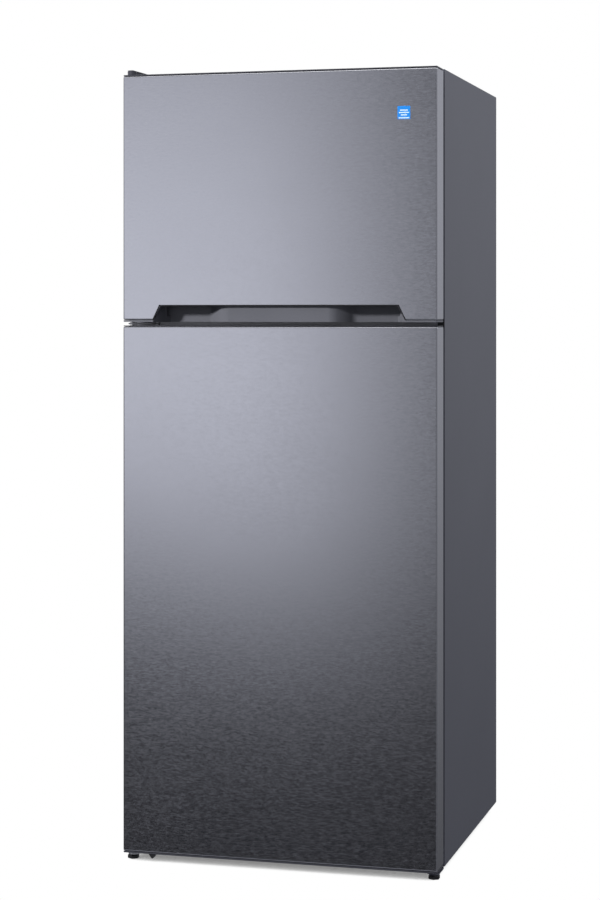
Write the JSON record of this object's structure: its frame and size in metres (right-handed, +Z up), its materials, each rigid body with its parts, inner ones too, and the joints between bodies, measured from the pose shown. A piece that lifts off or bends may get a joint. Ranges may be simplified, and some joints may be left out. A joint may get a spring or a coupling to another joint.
{
  "type": "top freezer refrigerator",
  "caption": "Upright refrigerator with a freezer on top, left-hinged brushed steel doors, a pocket handle under the freezer door, shelves, door bins and a crisper drawer.",
  "frame": {"origin": "on the floor, under the middle of the cabinet", "axes": "+Z up, doors face -Y, +X to the right as seen from the front"},
  "size_m": [0.67, 0.68, 1.656],
  "materials": {
    "brushed_steel": "fine horizontal grain, satin",
    "grey_paint": "satin dark grey powder coat",
    "rail_enamel": "smooth grey enamel",
    "pocket_plastic": "grey metallic moulded, satin",
    "dark_cap_plastic": "dark grey moulded, semi gloss",
    "black_plastic": "black moulded, matte",
    "black_gasket": "soft black seal",
    "white_liner": "white vacuum formed, gloss",
    "clear_bin": "clear moulded, gloss",
    "shelf_glass": "clear tempered",
    "shelf_trim": "light grey moulded",
    "foam": "foamed polyurethane",
    "zinc_plated_steel": "zinc plated, satin",
    "galvanised_sheet": "galvanised, dull",
    "aluminium_fins": "thin fins",
    "copper_tube": "drawn copper, satin",
    "compressor_paint": "black enamel",
    "lamp_lens": "frosted, translucent"
  },
  "bodies": {
    "cabinet": {"outer_wrapper": "grey_paint", "back_panel": "galvanised_sheet", "machine_panel": "galvanised_sheet", "insulation": "foam", "freezer_liner": "white_liner", "fridge_liner": "white_liner", "centre_rail": "rail_enamel", "hinge_hole_cover": "black_plastic", "base_rail": "grey_paint", "top_hinge": "zinc_plated_steel", "top_hinge_cover": "dark_cap_plastic", "mid_hinge": "zinc_plated_steel", "bottom_hinge": "zinc_plated_steel", "rear_cover": "black_plastic", "cord_inlet": "black_plastic", "compressor": "compressor_paint", "compressor_rail": "galvanised_sheet", "discharge_tube": "copper_tube", "drip_tray": "black_plastic", "evaporator": "aluminium_fins", "evaporator_cover": "white_liner", "fan_motor": "galvanised_sheet", "air_duct": "white_liner", "control_housing": "white_liner", "lamp_lens": "lamp_lens", "freezer_shelf": "white_liner", "upper_shelf_glass": "shelf_glass", "upper_shelf_trim": "shelf_trim", "lower_shelf_glass": "shelf_glass", "lower_shelf_trim": "shelf_trim", "crisper_cover_glass": "shelf_glass", "crisper_cover_trim": "shelf_trim", "roller_bracket_left": "zinc_plated_steel", "roller_bracket_right": "zinc_plated_steel"},
    "freezer_door": {"freezer_door_skin": "brushed_steel", "freezer_door_top_cap": "dark_cap_plastic", "freezer_door_handle_cap": "pocket_plastic", "freezer_door_foam": "foam", "freezer_door_liner": "white_liner", "freezer_door_gasket": "black_gasket", "freezer_door_rack_upper": "white_liner", "freezer_door_rack_lower": "white_liner"},
    "fridge_door": {"fridge_door_skin": "brushed_steel", "fridge_door_top_cap": "dark_cap_plastic", "fridge_door_bottom_cap": "dark_cap_plastic", "fridge_door_foam": "foam", "fridge_door_liner": "white_liner", "fridge_door_gasket": "black_gasket", "door_bin_lower": "clear_bin", "door_bin_middle": "clear_bin", "door_bin_upper": "clear_bin", "door_stop": "black_plastic"},
    "crisper": {"crisper_drawer": "clear_bin"},
    "fan": {"fan_blade": "black_plastic"},
    "thermostat": {"thermostat_knob": "shelf_trim"},
    "door_switch": {"light_switch": "white_liner"},
    "left_foot": {"foot_left": "black_plastic"},
    "right_foot": {"foot_right": "black_plastic"},
    "left_roller": {"rear_roller_left": "black_plastic"},
    "right_roller": {"rear_roller_right": "black_plastic"}
  },
  "joints": [
    {"name": "freezer_door_hinge", "type": "hinge", "parent": "cabinet", "child": "freezer_door", "pos_m": [-0.3225, -0.31, 1.132], "axis": [0, 0, -1], "range_deg": [0, 125]},
    {"name": "fridge_door_hinge", "type": "hinge", "parent": "cabinet", "child": "fridge_door", "pos_m": [-0.3225, -0.31, 0.021], "axis": [0, 0, -1], "range_deg": [0, 125]},
    {"name": "crisper_slide", "type": "slide", "parent": "cabinet", "child": "crisper", "axis": [0, -1, 0], "range_m": [0, 0.23]},
    {"name": "light_switch_slide", "type": "slide", "parent": "cabinet", "child": "door_switch", "axis": [0, -1, 0], "range_m": [0, 0.006]},
    {"name": "thermostat_turn", "type": "hinge", "parent": "cabinet", "child": "thermostat", "pos_m": [-0.1, -0.16, 1.0377], "axis": [0, 0, 1], "range_deg": [0, 270]},
    {"name": "fan_spin", "type": "hinge", "parent": "cabinet", "child": "fan", "pos_m": [0, 0.178, 1.5], "axis": [0, 1, 0], "continuous": true},
    {"name": "foot_left_screw", "type": "slide", "parent": "cabinet", "child": "left_foot", "axis": [0, 0, -1], "range_m": [0, 0.006]},
    {"name": "foot_right_screw", "type": "slide", "parent": "cabinet", "child": "right_foot", "axis": [0, 0, -1], "range_m": [0, 0.006]},
    {"name": "rear_roller_left_spin", "type": "hinge", "parent": "cabinet", "child": "left_roller", "pos_m": [-0.3, 0.3, 0.013], "axis": [1, 0, 0], "continuous": true},
    {"name": "rear_roller_right_spin", "type": "hinge", "parent": "cabinet", "child": "right_roller", "pos_m": [0.3, 0.3, 0.013], "axis": [1, 0, 0], "continuous": true}
  ],
  "couplings": [
    {"joint": "crisper_slide", "follows": "fridge_door_hinge", "m_per_rad": 0.10541},
    {"joint": "light_switch_slide", "follows": "fridge_door_hinge", "m_per_rad": 0.00274}
  ]
}
